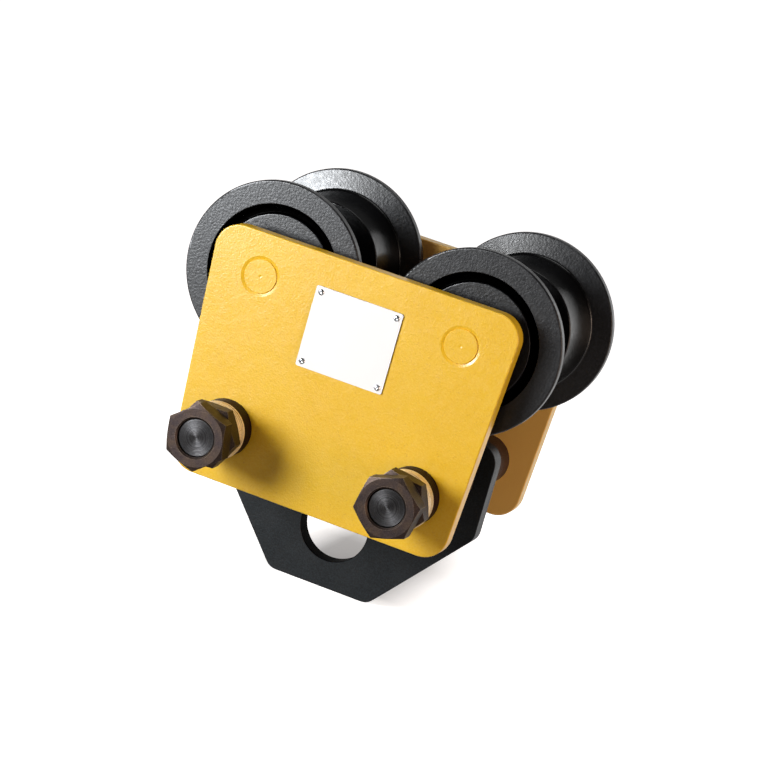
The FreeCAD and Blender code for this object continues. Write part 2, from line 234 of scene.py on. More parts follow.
def depth_fade(tree, outward, face, depths, at_deep=0.0, at_shallow=1.0):
    """Fade between two depths below an outer face."""
    deep, shallow = depths
    return tree.remap(outward, face - deep, face - shallow, at_deep, at_shallow)


def band(tree, value, low, high, soft):
    """1 between two bounds, with soft shoulders."""
    rise = tree.remap(value, low - soft, low + soft)
    fall = tree.remap(value, high - soft, high + soft, 1.0, 0.0)
    return tree.math("MULTIPLY", rise, fall)


def rings(tree, distance, pitch, wobble):
    """Turning marks: fine ridges around an axis, a little uneven."""
    turns = tree.math("MULTIPLY", distance, 2 * math.pi / pitch)
    return tree.math("SINE", tree.math("ADD", turns, wobble))


# ------------------------------------------------------------ materials
YELLOW = rgb(239, 193, 34)
YELLOW_WARM = rgb(236, 187, 28)
YELLOW_PALE = rgb(242, 202, 62)
YELLOW_PORE = rgb(204, 148, 34)
# Painted shade tone: a paler, warmer yellow for the side plates' inner faces, which lie in shade.
YELLOW_PAINTED_SHADE_TONE = rgb(252, 200, 106)
EYE_DROP = 64.1 * MM          # from the bolts down to the load eye
EYE_RADIUS = 25.8 * MM        # a little over the bored wall, which is painted near black as the shade inside the eye


def enamel_layers(tree, coordinates):
    """Colour, roughness and relief of the thick yellow enamel, with its orange peel."""
    drift = tree.remap(tree.noise(coordinates, scale=22.0, detail=3.0), 0.3, 0.7)
    mottle = tree.remap(tree.noise(coordinates, scale=640.0, detail=2.0), 0.40, 0.62)
    colour = tree.blend(drift, YELLOW_WARM, YELLOW)
    colour = tree.blend(tree.math("MULTIPLY", mottle, 0.45), colour, YELLOW_PALE)
    pores = tree.remap(tree.noise(coordinates, scale=820.0, detail=1.0), 0.66, 0.74)
    colour = tree.blend(tree.math("MULTIPLY", pores, 0.35), colour, YELLOW_PORE)
    roughness = tree.remap(tree.noise(coordinates, scale=160.0, detail=2.0), 0.3, 0.7, 0.30, 0.40)
    peel = tree.noise(coordinates, scale=1050.0, detail=1.0, roughness=0.4)
    waves = tree.noise(coordinates, scale=260.0, detail=1.0)
    relief = bump(tree, waves, depth=0.0003, strength=0.3)
    relief = bump(tree, peel, depth=0.00016, strength=0.8, normal=relief)
    return colour, roughness, relief


def yellow_enamel():
    material, shader, tree, coordinates = paint_tree("yellow enamel")
    colour, roughness, relief = enamel_layers(tree, coordinates)
    outward = along_axis(tree, coordinates)
    start, end = SHADE_TONE_FADE
    # Painted shade tone: the inner faces, which lie in shade, are coloured a paler, warmer yellow.
    inside = tree.remap(outward, PLATE_INNER + start, PLATE_INNER + end, 1.0, 0.0)
    colour = tree.blend(inside, colour, YELLOW_PAINTED_SHADE_TONE)
    feed(material, shader, Base_Color=colour, Roughness=roughness, Normal=relief)
    finish_values(shader, Coat_Weight=0.12, Coat_Roughness=0.2, Specular_IOR_Level=0.5)
    return material


def axle_finish():
    """Ground steel inside, yellow enamel over the riveted end in the plate's face."""
    material, shader, tree, coordinates = paint_tree("axle steel under enamel")
    colour, roughness, relief = enamel_layers(tree, coordinates)
    outward = along_axis(tree, coordinates)
    painted = depth_fade(tree, outward, PLATE_OUTER, PAINT_ON_AXLE)
    grind = drawn_out(tree, coordinates, (60, 2600, 60))
    steel = tree.blend(grind, rgb(120, 120, 124), rgb(158, 157, 158))
    bare_roughness = tree.remap(painted, 0.0, 1.0, 0.3, 0.0)
    feed(
        material,
        shader,
        Base_Color=tree.blend(painted, steel, colour),
        Metallic=tree.math("SUBTRACT", 1.0, painted),
        Roughness=tree.math("ADD", tree.math("MULTIPLY", painted, roughness), bare_roughness),
        Normal=relief,
    )
    return material


def wheel_enamel(end):
    """Black wheel paint: grainy flange faces, smoother tread, and painted shade in the recess
    around the hub.
    """
    x, z = axle_place(end)
    material, shader, tree, coordinates = paint_tree(f"wheel enamel {end}")
    radius = from_axis(tree, coordinates, x, z)
    outward = along_axis(tree, coordinates)
    grain = tree.noise(coordinates, scale=620.0, detail=2.0, roughness=0.5)
    cast = tree.noise(coordinates, scale=300.0, detail=3.0)
    off_face = depth_fade(tree, outward, WHEEL_FACE, FLANGE_BACK, 1.0, 0.0)
    below_flange = tree.remap(radius, *TREAD_RADII, 1.0, 0.0)
    tread = tree.math("MULTIPLY", off_face, below_flange)
    # Painted shade: the recess around the hub is coloured near black and made metallic, so that it
    # shows no reflection, in place of the shade that falls in it.
    groove_shade = band(tree, radius, *GROOVE_RADII, soft=0.15 * MM)
    mouth = depth_fade(tree, outward, WHEEL_FACE, GROOVE_MOUTH, 1.0, 0.0)
    groove_shade = tree.math("MULTIPLY", groove_shade, mouth)
    floor = depth_fade(tree, outward, WHEEL_FACE, GROOVE_FLOOR)
    groove_shade = tree.math("MULTIPLY", groove_shade, floor)
    flecks = tree.remap(grain, 0.4, 0.7)
    colour = tree.blend(flecks, rgb(9, 10, 12), rgb(28, 30, 35))
    clouded = tree.math("MULTIPLY", tree.remap(cast, 0.35, 0.65), 0.3)
    colour = tree.blend(clouded, colour, rgb(14, 15, 18))
    colour = tree.blend(tree.math("MULTIPLY", tread, 0.9), colour, rgb(4, 4, 4))
    colour = tree.blend(groove_shade, colour, rgb(1, 1, 1))
    rough = tree.remap(cast, 0.3, 0.7, 0.32, 0.40)
    rough = tree.math("SUBTRACT", rough, tree.math("MULTIPLY", tread, 0.14))
    rough = tree.math("SUBTRACT", rough, tree.math("MULTIPLY", groove_shade, 0.12))
    lathe = rings(tree, outward, pitch=1.3 * MM, wobble=tree.math("MULTIPLY", cast, 5.0))
    rougher = tree.math("SUBTRACT", 1.0, tree.math("MULTIPLY", tread, 0.96))
    grainy = tree.math("MULTIPLY", grain, rougher)
    marks = bump(tree, grainy, depth=0.00019, strength=0.8)
    turned = tree.math("MULTIPLY", lathe, tread)
    marks = bump(tree, turned, depth=0.00001, strength=0.4, normal=marks)
    feed(material, shader, Base_Color=colour, Roughness=rough, Normal=marks, Metallic=groove_shade)
    finish_values(shader, Specular_IOR_Level=0.5)
    return material


def powder_coat():
    """Blue-black powder coat of the load plate, with a fine pebbled skin."""
    material, shader, tree, coordinates = paint_tree("load plate powder coat")
    pebbles = tree.noise(coordinates, scale=950.0, detail=2.0, roughness=0.6)
    clouds = tree.noise(coordinates, scale=60.0, detail=3.0)
    colour = tree.blend(tree.remap(pebbles, 0.35, 0.7), rgb(5, 9, 12), rgb(25, 33, 38))
    colour = tree.blend(tree.math("MULTIPLY", clouds, 0.35), colour, rgb(11, 13, 15))
    rough = tree.remap(clouds, 0.3, 0.7, 0.40, 0.48)
    relief = bump(tree, pebbles, depth=0.0002, strength=0.7)
    from_eye = from_axis(tree, coordinates, 0.0, BOLT_Z - EYE_DROP)
    # Painted shade: the eye's bored wall is coloured near black, rougher and metallic, so that it
    # shows almost no light.
    eye_bore_shade = tree.math("LESS_THAN", from_eye, EYE_RADIUS)
    colour = tree.blend(eye_bore_shade, colour, rgb(4, 4, 5))
    rough = tree.math("ADD", rough, tree.math("MULTIPLY", eye_bore_shade, 0.5))
    feed(material, shader, Base_Color=colour, Roughness=rough, Normal=relief, Metallic=eye_bore_shade)
    finish_values(shader, Specular_IOR_Level=0.25)
    return material


def sharp_edge_mask(tree, reach, low, high):
    """1 on a piece's sharp edges, fading over a given reach, and 0 on its faces."""
    eased = tree.add("ShaderNodeBevel", {"Radius": reach}, samples=6)
    true = tree.add("ShaderNodeNewGeometry", out="Normal")
    pair = {0: eased, 1: true}
    same = tree.add("ShaderNodeVectorMath", pair, out="Value", operation="DOT_PRODUCT")
    return tree.remap(tree.math("SUBTRACT", 1.0, same), low, high)


def blackened_nut():
    """Blackened nut steel: turned end faces, milled flats, brown patches, lighter sharp edges."""
    material, shader, tree, coordinates = paint_tree("blackened nut steel")
    radius = from_axis(tree, coordinates, BOLT_X, BOLT_Z, both_ends=True)
    patches = tree.noise(coordinates, scale=110.0, detail=4.0, roughness=0.6)
    speckle = tree.noise(coordinates, scale=900.0, detail=3.0, roughness=0.7)
    speckle = tree.remap(speckle, 0.35, 0.65)
    colour = tree.blend(tree.remap(patches, 0.35, 0.65), rgb(62, 52, 52), rgb(78, 62, 50))
    colour = tree.blend(tree.math("MULTIPLY", speckle, 0.6), colour, rgb(26, 21, 21))
    flats = tree.remap(facing_across(tree), 0.3, 0.7, 0.45, 0.0)
    colour = tree.blend(flats, colour, rgb(24, 22, 20))
    # The sharp edges are coloured lighter, less so where the speckle is strong.
    lighter_edges = sharp_edge_mask(tree, reach=0.8 * MM, low=0.01, high=0.18)
    lighter_edges = tree.math("MULTIPLY", lighter_edges, tree.remap(speckle, 0.0, 1.0, 1.0, 0.3))
    colour = tree.blend(lighter_edges, colour, rgb(150, 134, 116))
    turned = rings(tree, radius, pitch=1.1 * MM, wobble=tree.math("MULTIPLY", patches, 3.0))
    drawn = drawn_out(tree, coordinates, (900, 60, 900))
    marks = bump(tree, drawn, depth=0.0002, strength=0.6)
    marks = bump(tree, turned, depth=0.000015, strength=0.6, normal=marks)
    marks = bump(tree, speckle, depth=0.00004, strength=0.7, normal=marks)
    rough = tree.remap(patches, 0.3, 0.7, 0.40, 0.52)
    feed(material, shader, Base_Color=colour, Roughness=rough, Normal=marks)
    finish_values(shader, Metallic=0.8)
    return material


def turned_stud(end):
    """Dark stud steel with faced ends, whose fine rings draw the light out into a fan."""
    x, z = bolt_place(end)
    material, shader, tree, coordinates = paint_tree(f"turned stud steel {end}")
    radius = from_axis(tree, coordinates, x, z)
    haze = tree.noise(coordinates, scale=140.0, detail=3.0)
    streak = tree.noise(on_a_line(tree, radius), scale=1500.0, detail=3.0, roughness=0.75)
    colour = tree.blend(tree.remap(streak, 0.36, 0.64), rgb(36, 36, 37), rgb(92, 91, 92))
    grime = tree.remap(tree.noise(coordinates, scale=700.0, detail=3.0, roughness=0.7), 0.4, 0.65)
    colour = tree.blend(tree.math("MULTIPLY", grime, 0.45), colour, rgb(44, 41, 40))
    facing = rings(tree, radius, pitch=0.9 * MM, wobble=tree.math("MULTIPLY", haze, 1.5))
    marks = bump(tree, facing, depth=0.00003, strength=0.7)
    rough = tree.remap(haze, 0.3, 0.7, 0.34, 0.42)
    centre = {0: coordinates, 1: (x, 0.0, z)}
    from_centre = tree.add("ShaderNodeVectorMath", centre, operation="SUBTRACT")
    across = {0: from_centre, 1: (1.0, 0.0, 1.0)}
    outwards = tree.add("ShaderNodeVectorMath", across, operation="MULTIPLY")
    feed(material, shader, Base_Color=colour, Roughness=rough, Normal=marks, Tangent=outwards)
    finish_values(shader, Metallic=1.0, Anisotropic=0.5)
    return material


def plated(name, light, dark, tint):
    """Zinc plating, clear or yellow, with the soft rainbow patches that it has."""
    material, shader, tree, coordinates = paint_tree(name)
    clouds = tree.noise(coordinates, scale=120.0, detail=3.0, roughness=0.6)
    flow = tree.noise(coordinates, scale=35.0, detail=2.0)
    colour = tree.blend(tree.remap(clouds, 0.3, 0.7), dark, light)
    colour = tree.blend(tree.math("MULTIPLY", tree.remap(flow, 0.45, 0.75), 0.35), colour, tint)
    spots = tree.remap(tree.noise(coordinates, scale=900.0, detail=3.0, roughness=0.7), 0.56, 0.70)
    colour = tree.blend(tree.math("MULTIPLY", spots, 0.6), colour, rgb(112, 78, 40))
    radius = from_axis(tree, coordinates, BOLT_X, BOLT_Z, both_ends=True)
    rolled = WASHER_HIGH.x - BOLT_X - WASHER_ROLL
    start, end = WASHER_GAP_SHADE
    # Painted shade: each washer's rolled edge turns dark brown where the gap to the next washer
    # lies in shade.
    gap_shade = tree.remap(radius, rolled + start, rolled + end, 0.95, 0.0)
    colour = tree.blend(gap_shade, colour, rgb(52, 32, 16))
    outward = along_axis(tree, coordinates)
    lines = tree.noise(on_a_line(tree, outward), scale=2200.0, detail=2.0)
    rough = tree.remap(clouds, 0.3, 0.7, 0.36, 0.48)
    marks = bump(tree, lines, depth=0.00003, strength=0.5)
    feed(material, shader, Base_Color=colour, Roughness=rough, Normal=marks)
    finish_values(shader, Metallic=0.4)
    return material


def browned_steel(name, light, dark, shine):
    """Heat-browned turned steel of the spacers and distance tubes."""
    material, shader, tree, coordinates = paint_tree(name)
    clouds = tree.noise(coordinates, scale=110.0, detail=3.0, roughness=0.6)
    outward = along_axis(tree, coordinates)
    lines = rings(tree, outward, pitch=0.6 * MM, wobble=tree.math("MULTIPLY", clouds, 4.0))
    colour = tree.blend(tree.remap(clouds, 0.3, 0.7), dark, light)
    rough = tree.remap(clouds, 0.3, 0.7, 0.46, 0.6)
    marks = bump(tree, lines, depth=0.00003, strength=0.5)
    feed(material, shader, Base_Color=colour, Roughness=rough, Normal=marks)
    finish_values(shader, Metallic=0.1, Specular_IOR_Level=shine)
    return material


def plate_enamel_white():
    """White-faced aluminium name plate, bare, brushed along its width, with its side faces painted
    dark as the shadow line along its edges.
    """
    material, shader, tree, coordinates = paint_tree("white name plate")
    brushed = drawn_out(tree, coordinates, (40, 1, 1800), detail=3.0)
    smudge = tree.noise(coordinates, scale=45.0, detail=2.0)
    colour = tree.blend(tree.remap(smudge, 0.3, 0.7), rgb(250, 251, 252), rgb(254, 254, 254))
    # Painted shadow: the plate's side faces are coloured dark as the thin shadow line along its
    # edges.
    edge_shadow_line = tree.math("LESS_THAN", facing_across(tree), 0.5)
    colour = tree.blend(edge_shadow_line, colour, rgb(46, 46, 48))
    rough = tree.remap(brushed, 0.3, 0.7, 0.30, 0.40)
    marks = bump(tree, brushed, depth=0.00002, strength=0.4)
    feed(material, shader, Base_Color=colour, Roughness=rough, Normal=marks)
    return material


def bright_metal(name, light, dark, roughness, metallic=1.0, scale=260.0):
    """Plain engineering steel, brass or aluminium with faint handling marks."""
    material, shader, tree, coordinates = paint_tree(name)
    haze = tree.noise(coordinates, scale, detail=3.0, roughness=0.6)
    scratches = drawn_out(tree, coordinates, (1500, 90, 1500))
    colour = tree.blend(tree.remap(haze, 0.3, 0.7), dark, light)
    rough = tree.remap(haze, 0.3, 0.7, roughness - 0.06, roughness + 0.08)
    marks = bump(tree, scratches, depth=0.00004, strength=0.4)
    feed(material, shader, Base_Color=colour, Roughness=rough, Normal=marks)
    finish_values(shader, Metallic=metallic)
    return material


def dress(material, *names):
    """Gives a CAD node its finish in every material slot."""
    for name in names:
        for slot in nodes[name].material_slots:
            slot.material = material


def at_every_wheel(kind):
    return [f"{kind}_{side}_{end}" for side in SIDES for end in ENDS]


def dress_everything():
    dress(yellow_enamel(), "side_plate_front", "side_plate_rear")
    dress(axle_finish(), *at_every_wheel("axle"))
    for end in ENDS:
        dress(wheel_enamel(end), f"wheel_front_{end}", f"wheel_rear_{end}")
        dress(turned_stud(end), f"load_bolt_{end}")
    dress(powder_coat(), "load_plate")
    dress(blackened_nut(), "outer_nuts", "jam_nuts")
    spacer = browned_steel("browned spacer steel", rgb(38, 12, 20), rgb(16, 5, 9), shine=0.1)
    dress(spacer, "outer_spacers")
    tube = browned_steel("browned tube steel", rgb(72, 46, 34), rgb(42, 26, 22), shine=0.3)
    dress(tube, "distance_tubes")
    dress(plate_enamel_white(), "name_plate")
    ground = bright_metal("ground bearing steel", rgb(190, 190, 192), rgb(160, 160, 164), 0.2)
    dress(ground, *at_every_wheel("bearing_inner_rings"), *at_every_wheel("bearing_outer_rings"))
    balls = bright_metal("polished ball steel", rgb(206, 206, 210), rgb(186, 186, 190), 0.12)
    dress(balls, *at_every_wheel("bearing_balls"))
    brass = bright_metal("cage brass", rgb(206, 160, 84), rgb(176, 130, 62), 0.3)
    dress(brass, *at_every_wheel("bearing_cages"))
    shield = bright_metal("bearing shield steel", rgb(176, 176, 178), rgb(150, 150, 154), 0.3)
    dress(shield, *at_every_wheel("bearing_seals"))
    spring = bright_metal("blued spring steel", rgb(62, 62, 70), rgb(44, 44, 52), 0.35)
    dress(spring, *at_every_wheel("axle_retaining_ring"), *at_every_wheel("wheel_retaining_ring"))
    sleeve = bright_metal("sleeve steel", rgb(150, 150, 152), rgb(122, 122, 126), 0.34)
    dress(sleeve, *at_every_wheel("axle_sleeve"))
    cap = bright_metal("black cap lacquer", rgb(48, 48, 50), rgb(32, 32, 34), 0.4, metallic=0.0)
    dress(cap, *at_every_wheel("wheel_cap"))


dress_everything()

# ------------------------------------------------------------ washers and rivets
RING_COLUMNS = 72
RING_ROWS = 44
RIVET_COLUMNS = 36
RIVET_ROWS = 22
THIN_WASHERS_LEFT = 4         # on each end of the left bolt
WASHER_DRIFT = 0.12 * MM      # how far a washer lies off its bolt's axis
WASHER_ROLL_POINTS = 6
THIN_WASHER_SEED = 4
THICK_WASHER_SEED = 9
WELD = 0.002 * MM             # the rolled sheet's seam is closed within this reach
RIVET_INSET = 4.0 * MM        # from the name plate's edges to a rivet's middle
RIVET_DIMPLE_R = 0.9 * MM
RIVET_DIMPLE_DEPTH = 0.35 * MM
RIVET_DIMPLE_EDGE = 4.0       # how abruptly the dimple's wall rises
RIVET_OVERRUN = 1.06          # the dome meets the plate a little before the last row
RIVET_CLOSE = 0.99            # rows past this share lie on the axis and close the underside


def grow_tree(name, **sizes):
    """A geometry tree with a geometry input and output and one named input for each size."""
    group = bpy.data.node_groups.new(name, "GeometryNodeTree")
    group.interface.new_socket("Geometry", in_out="INPUT", socket_type="NodeSocketGeometry")
    for size, kind in sizes.items():
        socket = size.replace("_", " ").title()
        group.interface.new_socket(socket, in_out="INPUT", socket_type=f"NodeSocket{kind}")
    group.interface.new_socket("Geometry", in_out="OUTPUT", socket_type="NodeSocketGeometry")
    return group, Tree(group), group.nodes.new("NodeGroupInput").outputs


def finish_tree(group, tree, instances, finish):
    """Realizes the instances, gives them their finish and ends the tree."""
    plain = tree.add("GeometryNodeRealizeInstances", {0: instances})
    dressed = tree.add("GeometryNodeSetMaterial", {"Geometry": plain, "Material": finish})
    group.links.new(dressed, group.nodes.new("NodeGroupOutput").inputs[0])


def sweep_round(tree, columns, rows, radius_at, height_at):
    """Sheet of columns by rows, rolled around Y: radius and height follow the share of the rows."""
    sheet = tree.tree.nodes.new("GeometryNodeMeshGrid")
    sizes = {"Size X": 1.0, "Size Y": 1.0, "Vertices X": columns + 1, "Vertices Y": rows + 1}
    for key, value in sizes.items():
        sheet.inputs[key].default_value = value
    place = tree.add("GeometryNodeInputPosition")
    turn = tree.math("MULTIPLY", tree.math("ADD", split(tree, place, 0), 0.5), 2 * math.pi)
    share = tree.math("ADD", split(tree, place, 1), 0.5)
    radius = radius_at(share)
    height = height_at(share)
    rolled = tree.add(
        "ShaderNodeCombineXYZ",
        {
            0: tree.math("MULTIPLY", radius, tree.math("COSINE", turn)),
            1: height,
            2: tree.math("MULTIPLY", radius, tree.math("SINE", turn)),
        },
    )
    moved = tree.add("GeometryNodeSetPosition", {"Geometry": sheet.outputs[0], "Position": rolled})
    closed = tree.add("GeometryNodeMergeByDistance", {"Geometry": moved, "Distance": WELD})
    return tree.add("GeometryNodeSetShadeSmooth", {"Geometry": closed, "Shade Smooth": True})


def washer_tree():
    """A washer with rolled edges on every point of the input, each a little off its axis."""
    group, tree, given = grow_tree(
        "washers", bore_radius="Float", outer_radius="Float", thickness="Float", roll="Float",
        drift="Float", seed="Int", finish="Material",
    )
    width = tree.math("SUBTRACT", given["Outer Radius"], given["Bore Radius"])
    block_sizes = {"Width": width, "Height": given["Thickness"]}
    block = tree.add("GeometryNodeCurvePrimitiveQuadrilateral", block_sizes)
    fillet = {
        "Curve": block,
        "Radius": given["Roll"],
        "Limit Radius": True,
        "Count": WASHER_ROLL_POINTS,
    }
    section = tree.add("GeometryNodeFilletCurve", fillet, mode="POLY")
    both_radii = tree.math("ADD", given["Outer Radius"], given["Bore Radius"])
    middle = tree.math("MULTIPLY", both_radii, 0.5)

    def along(share):
        sampled = {"Curves": section, "Factor": share}
        return tree.add("GeometryNodeSampleCurve", sampled, out="Position", mode="FACTOR")

    ring = sweep_round(
        tree, RING_COLUMNS, RING_ROWS,
        lambda share: tree.math("ADD", middle, split(tree, along(share), 0)),
        lambda share: split(tree, along(share), 1),
    )
    reach = tree.add("ShaderNodeCombineXYZ", {0: given["Drift"], 1: 0.0, 2: given["Drift"]})
    back = tree.add("ShaderNodeVectorMath", {0: reach, 3: -1.0}, operation="SCALE")
    bounds = {0: back, 1: reach, "Seed": given["Seed"]}
    shift = tree.add("FunctionNodeRandomValue", bounds, data_type="FLOAT_VECTOR")
    stacked = tree.add("GeometryNodeSetPosition", {"Geometry": given["Geometry"], "Offset": shift})
    copies = tree.add("GeometryNodeInstanceOnPoints", {"Points": stacked, "Instance": ring})
    finish_tree(group, tree, copies, given["Finish"])
    return group


def rivet_tree():
    """A domed rivet head with its mandrel's dimple on every point of the input, facing -Y."""
    group, tree, given = grow_tree(
        "rivet heads", head_radius="Float", head_height="Float", dimple_radius="Float",
        dimple_depth="Float", finish="Material",
    )

    def lean(share):
        run = tree.math("MULTIPLY", share, RIVET_OVERRUN, clamp=True)
        return tree.math("MULTIPLY", run, math.pi / 2)

    def radius_at(share):
        dome = tree.math("MULTIPLY", given["Head Radius"], tree.math("SINE", lean(share)))
        return tree.math("MULTIPLY", dome, tree.math("LESS_THAN", share, RIVET_CLOSE))

    def height_at(share):
        dome = tree.math("MULTIPLY", given["Head Height"], tree.math("COSINE", lean(share)))
        inner = tree.math("DIVIDE", radius_at(share), given["Dimple Radius"])
        wall = tree.math("POWER", inner, RIVET_DIMPLE_EDGE)
        hollow = tree.math("SUBTRACT", 1.0, wall, clamp=True)
        above = tree.math("LESS_THAN", share, 0.5)
        sunk = tree.math("MULTIPLY", tree.math("MULTIPLY", hollow, above), given["Dimple Depth"])
        return tree.math("SUBTRACT", sunk, dome)

    head = sweep_round(tree, RIVET_COLUMNS, RIVET_ROWS, radius_at, height_at)
    heads = {"Points": given["Geometry"], "Instance": head}
    copies = tree.add("GeometryNodeInstanceOnPoints", heads)
    finish_tree(group, tree, copies, given["Finish"])
    return group


def grow(name, places, group, values, node):
    """Grows a tree's pieces on points, as one plain mesh that replaces a CAD node."""
    mesh = bpy.data.meshes.new(name)
    mesh.from_pydata([tuple(place) for place in places], [], [])
    made = bpy.data.objects.new(name, mesh)
    bpy.context.scene.collection.objects.link(made)
    modifier = made.modifiers.new("grow", "NODES")
    modifier.node_group = group
    for item in group.interface.items_tree:
        if item.in_out == "INPUT" and item.name in values:
            modifier[item.identifier] = values[item.name]
    grown = made.evaluated_get(bpy.context.evaluated_depsgraph_get())
    plain = bpy.data.meshes.new_from_object(grown)
    made.modifiers.clear()
    made.data = plain
    shape = bmesh.new()
    shape.from_mesh(plain)
    bmesh.ops.recalc_face_normals(shape, faces=shape.faces)
    shape.to_mesh(plain)
    shape.free()
    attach(made, "trolley_frame")
    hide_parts(node)
    return made


def stack_places(end, near, far, count):
    """Middles of equal washers that fill a span on both sides of one bolt."""
    x, z = bolt_place(end)
    each = (far - near) / count
    return [(x, side * (near + each * (i + 0.5)), z) for side in (-1, 1) for i in range(count)]


def washer_values(seed, thickness, finish):
    bore_room = WASHER_DRIFT * 1.5
    return {
        "Bore Radius": STUD_RADIUS + bore_room,
        "Outer Radius": WASHER_HIGH.x - BOLT_X - WASHER_DRIFT,
        "Thickness": thickness,
        "Roll": WASHER_ROLL,
        "Drift": WASHER_DRIFT,
        "Seed": seed,
        "Finish": finish,
    }


def make_washers():
    group = washer_tree()
    left_near, left_far = span_out("thin_washers", "left")
    right_near, right_far = span_out("thin_washers", "right")
    thick_near, thick_far = span_out("thick_washers", "right")
    yellow = plated("yellow zinc", rgb(254, 238, 200), rgb(228, 200, 148), rgb(236, 204, 170))
    pale = plated("pale zinc", rgb(255, 244, 214), rgb(236, 214, 168), rgb(242, 220, 184))
    thin = stack_places("left", left_near, left_far, THIN_WASHERS_LEFT)
    thin += stack_places("right", right_near, right_far, 1)
    thickness = (left_far - left_near) / THIN_WASHERS_LEFT - AIR
    values = washer_values(THIN_WASHER_SEED, thickness, yellow)
    made = grow("thin_washer_stack", thin, group, values, "thin_washers")
    thick = stack_places("right", thick_near, thick_far, 1)
    values = washer_values(THICK_WASHER_SEED, thick_far - thick_near - AIR, pale)
    made = grow("thick_washer_pair", thick, group, values, "thick_washers")


def make_rivets():
    middle = (RIVET_LOW + RIVET_HIGH) / 2
    head_radius = RIVET_INSET - (NAME_HIGH.x - RIVET_HIGH.x)
    reach_x = (RIVET_HIGH.x - RIVET_LOW.x) / 2 - head_radius
    reach_z = (RIVET_HIGH.z - RIVET_LOW.z) / 2 - head_radius
    face = NAME_LOW.y
    places = []
    for i in (-1, 1):
        for k in (-1, 1):
            places.append((middle.x + i * reach_x, face, middle.z + k * reach_z))
    finish = bright_metal("rivet aluminium", rgb(226, 228, 232), rgb(186, 190, 198), 0.24)
    values = {
        "Head Radius": head_radius,
        "Head Height": face - RIVET_LOW.y,
        "Dimple Radius": RIVET_DIMPLE_R,
        "Dimple Depth": RIVET_DIMPLE_DEPTH,
        "Finish": finish,
    }
    made = grow("rivet_heads", places, rivet_tree(), values, "name_plate_rivets")


make_washers()
make_rivets()

# ------------------------------------------------------------ floor, light, camera
FLOOR_RADIUS = 14.0           # metres, as all lengths here
FLOOR_RIM_POINTS = 96
FLOOR_GLOW = 0.85             # the paper's own light to the camera beside the object
FLOOR_FADE_START = 0.16       # the paper turns plain white between these two distances
FLOOR_FADE_END = 0.42
PAPER_GREY = 0.35             # how much light the paper throws back on the object
SHADE_HALF_CORE = 0.028       # soft shade on the paper, from the foot backwards
SHADE_HALF_WIDTH = 0.062
SHADE_FRONT = (-0.005, 0.020)
SHADE_BACK = (0.13, 0.27)
SHADE_DEPTH = 0.72
WORLD_LEVEL = 0.09            # the world's light on surfaces
WORLD_TINT = (1.0, 0.62, 0.50, 1.0)
CEILING_LEVEL = 0.10          # how dark the ceiling and the room in front look in gloss
CEILING_RISE = (0.15, 0.5)    # heights of a view direction over which the ceiling darkens
ROOM_TURN = (-0.2, 0.4)       # from the dark room in front to the white one behind
PAPER_TURN = (-0.3, 0.3)      # the same turn on the floor, in metres
LAMP_AIM = Vector((0.0, 0.0, -0.03))
WHITE = (1.0, 1.0, 1.0, 1.0)
CAMERA_TARGET = Vector((0.0043, 0.0, -0.0167))
CAMERA_DISTANCE = 2.187
CAMERA_AZIMUTH = 16.10        # degrees, as the two below
CAMERA_ELEVATION = 12.64
CAMERA_ROLL = 16.0
CAMERA_LENS = 144.5           # millimetres, as the sensor's width
SENSOR_WIDTH = 36.0


def floor_paper():
    """White studio paper that keeps the object's shadow and is plain white further out."""
    material = bpy.data.materials.new("white studio paper")
    material.use_nodes = True
    tree = Tree(material.node_tree)
    tree.tree.nodes.remove(tree.tree.nodes["Principled BSDF"])
    place = tree.add("ShaderNodeTexCoord", out=3)
    away = tree.add("ShaderNodeVectorMath", {0: place}, out="Value", operation="LENGTH")
    fade = {0: away, 1: FLOOR_FADE_START, 2: FLOOR_FADE_END, 3: FLOOR_GLOW, 4: 1.0}
    glow = tree.add("ShaderNodeMapRange", fade, interpolation_type="SMOOTHSTEP")
    path = tree.tree.nodes.new("ShaderNodeLightPath")
    behind = tree.remap(split(tree, place, 1), *PAPER_TURN)
    gloss = tree.math("MAXIMUM", path.outputs["Is Glossy Ray"], path.outputs["Is Transmission Ray"])
    seen = tree.math("MAXIMUM", tree.math("MULTIPLY", gloss, behind), path.outputs["Is Camera Ray"])
    across = tree.math("ABSOLUTE", split(tree, place, 0))
    shade = tree.remap(across, SHADE_HALF_CORE, SHADE_HALF_WIDTH, SHADE_DEPTH, 0.0)
    shade = tree.math("MULTIPLY", shade, tree.remap(split(tree, place, 1), *SHADE_FRONT))
    shade = tree.math("MULTIPLY", shade, tree.remap(split(tree, place, 1), *SHADE_BACK, 1.0, 0.0))
    open_sky = tree.math("SUBTRACT", 1.0, shade)
    white = tree.math("MULTIPLY", path.outputs["Is Camera Ray"], open_sky)
    colour = tree.math("MAXIMUM", white, PAPER_GREY)
    paper = tree.add("ShaderNodeBsdfDiffuse", {"Color": colour})
    strength = tree.math("MULTIPLY", tree.math("MULTIPLY", seen, glow), open_sky)
    own_light = tree.add("ShaderNodeEmission", {"Color": WHITE, "Strength": strength})
    both = tree.add("ShaderNodeAddShader", {0: paper, 1: own_light})
    output = material.node_tree.nodes["Material Output"]
    material.node_tree.links.new(both, output.inputs["Surface"])
    return material


def lay_floor():
    mesh = bpy.data.meshes.new("studio_floor")
    shape = bmesh.new()
    bmesh.ops.create_circle(shape, cap_ends=True, segments=FLOOR_RIM_POINTS, radius=FLOOR_RADIUS)
    bmesh.ops.translate(shape, vec=(0.0, 0.0, FOOT_Z), verts=shape.verts)
    shape.to_mesh(mesh)
    shape.free()
    floor = bpy.data.objects.new("studio_floor", mesh)
    bpy.context.scene.collection.objects.link(floor)
    mesh.materials.append(floor_paper())


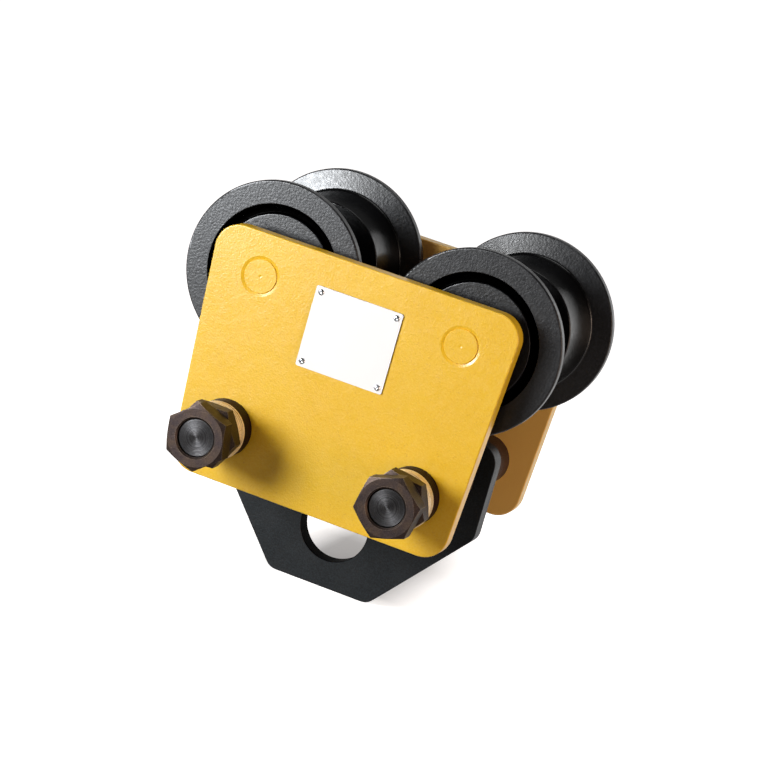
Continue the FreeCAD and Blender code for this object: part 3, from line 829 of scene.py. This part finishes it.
def light_world():
    """White backdrop, with a darker ceiling in reflections and dim light on surfaces."""
    world = bpy.data.worlds.new("studio")
    bpy.context.scene.world = world
    world.use_nodes = True
    tree = Tree(world.node_tree)
    path = tree.tree.nodes.new("ShaderNodeLightPath")
    direction = tree.add("ShaderNodeTexCoord", out=0)
    low = tree.remap(split(tree, direction, 2), *CEILING_RISE, 1.0, CEILING_LEVEL)
    behind = tree.remap(split(tree, direction, 1), *ROOM_TURN, CEILING_LEVEL, 1.0)
    gloss = tree.math("MAXIMUM", path.outputs["Is Glossy Ray"], path.outputs["Is Transmission Ray"])
    backdrop = tree.math("MULTIPLY", gloss, tree.math("MULTIPLY", low, behind))
    shade = tree.remap(gloss, 0.0, 1.0, WORLD_LEVEL, 0.0)
    level = tree.math("MAXIMUM", tree.math("ADD", shade, backdrop), path.outputs["Is Camera Ray"])
    background = world.node_tree.nodes["Background"]
    world.node_tree.links.new(level, background.inputs["Strength"])
    tint = tree.blend(path.outputs["Is Diffuse Ray"], WHITE, WORLD_TINT)
    world.node_tree.links.new(tint, background.inputs["Color"])


def soft_box(name, direction, distance, width, height, watts, colour=(1.0, 1.0, 1.0)):
    """Rectangular lamp that faces the object from a direction."""
    data = bpy.data.lights.new(name, "AREA")
    data.shape = "RECTANGLE"
    data.size = width
    data.size_y = height
    data.energy = watts
    data.color = colour
    lamp = bpy.data.objects.new(name, data)
    lamp.visible_camera = False
    toward = Vector(direction).normalized()
    lamp.location = LAMP_AIM + toward * distance
    lamp.rotation_mode = "QUATERNION"
    lamp.rotation_quaternion = (-toward).to_track_quat("-Z", "Y")
    bpy.context.scene.collection.objects.link(lamp)
    return lamp


def light_studio():
    light_world()
    soft_box("key", (-0.560, -0.802, 0.206), distance=1.5, width=0.56, height=0.56, watts=20.5)
    soft_box("rim", (0.66, 0.68, 0.30), distance=1.0, width=0.9, height=0.6, watts=1.5)
    soft_box("top", (0.05, 0.10, 1.0), distance=1.2, width=0.6, height=0.6, watts=2.5)
    soft_box(
        "fill", (0.90, -0.40, 0.15), distance=1.2, width=0.6, height=0.6, watts=5.5,
        colour=(1.0, 0.76, 0.60),
    )
    glint = soft_box(
        "glint", (-0.61, -0.78, 0.17), distance=0.95, width=0.20, height=0.24, watts=11.5,
        colour=(0.90, 0.95, 1.0),
    )
    glint.visible_diffuse = False


def place_camera():
    data = bpy.data.cameras.new("studio_camera")
    data.lens = CAMERA_LENS
    data.sensor_width = SENSOR_WIDTH
    camera = bpy.data.objects.new("studio_camera", data)
    a, e = math.radians(CAMERA_AZIMUTH), math.radians(CAMERA_ELEVATION)
    back = Vector((math.sin(a) * math.cos(e), -math.cos(a) * math.cos(e), math.sin(e)))
    camera.location = CAMERA_TARGET + back * CAMERA_DISTANCE
    camera.rotation_mode = "QUATERNION"
    roll = Quaternion((0.0, 0.0, 1.0), math.radians(CAMERA_ROLL))
    camera.rotation_quaternion = (-back).to_track_quat("-Z", "Y") @ roll
    bpy.context.scene.collection.objects.link(camera)
    bpy.context.scene.camera = camera


lay_floor()
light_studio()
place_camera()
bpy.context.scene.view_settings.view_transform = "Standard"
